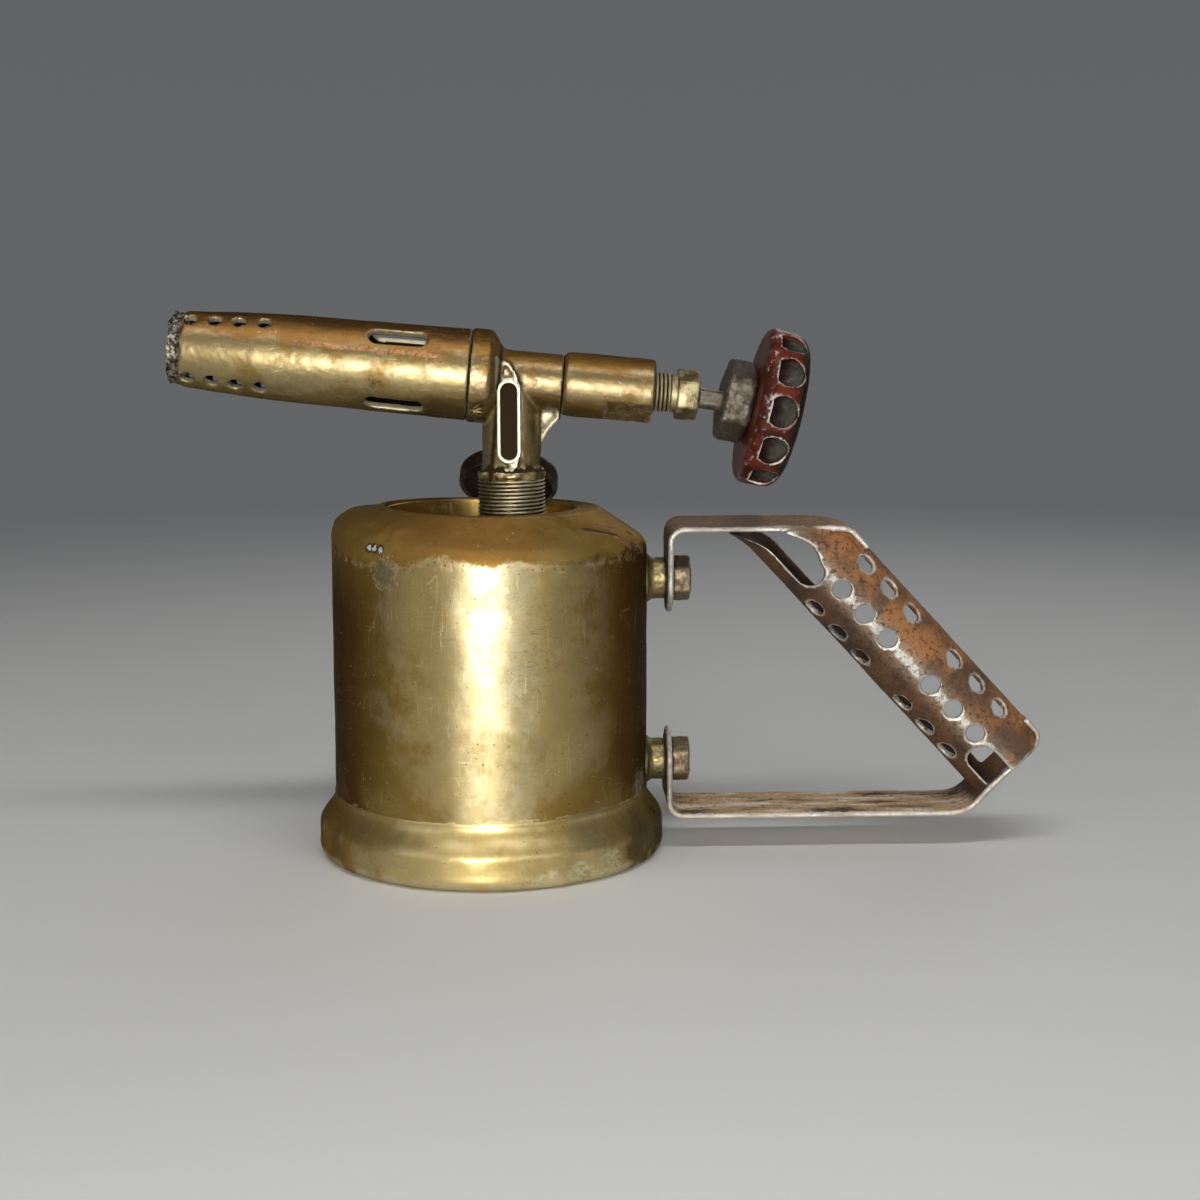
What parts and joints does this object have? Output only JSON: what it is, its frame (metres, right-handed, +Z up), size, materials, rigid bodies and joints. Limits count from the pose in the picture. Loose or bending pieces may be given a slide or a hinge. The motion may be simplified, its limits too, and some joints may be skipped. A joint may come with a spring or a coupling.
{
  "type": "blowtorch",
  "caption": "Old brass petrol blowlamp: round tank on a flared foot, tilted burner with perforated flame tube, needle valve with handwheel, filler cap and pierced sheet-steel handle.",
  "frame": {"origin": "centre of the foot, on the surface that the lamp stands on", "axes": "+Z up, +X towards the handle, -X towards the burner's mouth, +Y towards the filler cap"},
  "size_m": [0.2556, 0.109, 0.1582],
  "materials": {
    "tank_brass": "aged sheet brass with dents, scratches and brown patina",
    "burner_brass": "cast and turned brass, heat tinted brown, worn bright on ridges",
    "fitting_brass": "pale worn brass",
    "dark_brass": "nearly black brown patina",
    "plain_steel": "plain worn steel",
    "dull_steel": "dull grey brown steel",
    "rusty_steel": "dark rust brown sheet steel with bare worn edges",
    "bakelite": "dark red brown moulded phenolic with grey worn pockets",
    "leather": "oiled leather",
    "cotton": "twisted cotton"
  },
  "bodies": {
    "lamp": {"tank_shell": "tank_brass", "priming_dish": "tank_brass", "tank_bottom": "tank_brass", "base_skirt": "tank_brass", "neck_bush": "fitting_brass", "feed_tube": "fitting_brass", "wick": "cotton", "burner_body": "burner_brass", "flame_tube": "burner_brass", "jet_nipple": "fitting_brass", "valve_housing": "burner_brass", "packing_washer": "fitting_brass", "gland_packing": "cotton", "gland_screw": "fitting_brass", "filler_bush": "fitting_brass", "handle": "rusty_steel", "handle_bosses": "fitting_brass", "handle_bolts": "dull_steel"},
    "needle_rod": {"needle": "plain_steel"},
    "spindle_wheel": {"valve_spindle": "plain_steel", "handwheel_hub": "dull_steel", "handwheel": "bakelite", "handwheel_washer": "dull_steel", "handwheel_nut": "dull_steel"},
    "filler_seal": {"filler_washer": "leather"},
    "filler_plug": {"filler_cap": "dark_brass"}
  },
  "joints": [
    {"name": "needle_slide", "type": "slide", "parent": "lamp", "child": "needle_rod", "axis": [0.9958, 0, -0.0915], "range_m": [0, 0.0026]},
    {"name": "handwheel_turn", "type": "hinge", "parent": "needle_rod", "child": "spindle_wheel", "pos_m": [0.0065, 0, 0.1383], "axis": [0.9958, 0, -0.0915], "range_deg": [0, 900]},
    {"name": "filler_lift", "type": "slide", "parent": "lamp", "child": "filler_seal", "axis": [0.0669, 0.5451, 0.8357], "range_m": [0, 0.0091]},
    {"name": "filler_turn", "type": "hinge", "parent": "filler_seal", "child": "filler_plug", "pos_m": [0.00468, 0.03811, 0.09699], "axis": [0.0669, 0.5451, 0.8357], "range_deg": [0, 2160]}
  ],
  "couplings": [
    {"joint": "needle_slide", "follows": "handwheel_turn", "m_per_rad": 0.00015915},
    {"joint": "filler_lift", "follows": "filler_turn", "m_per_rad": 0.00023873}
  ]
}
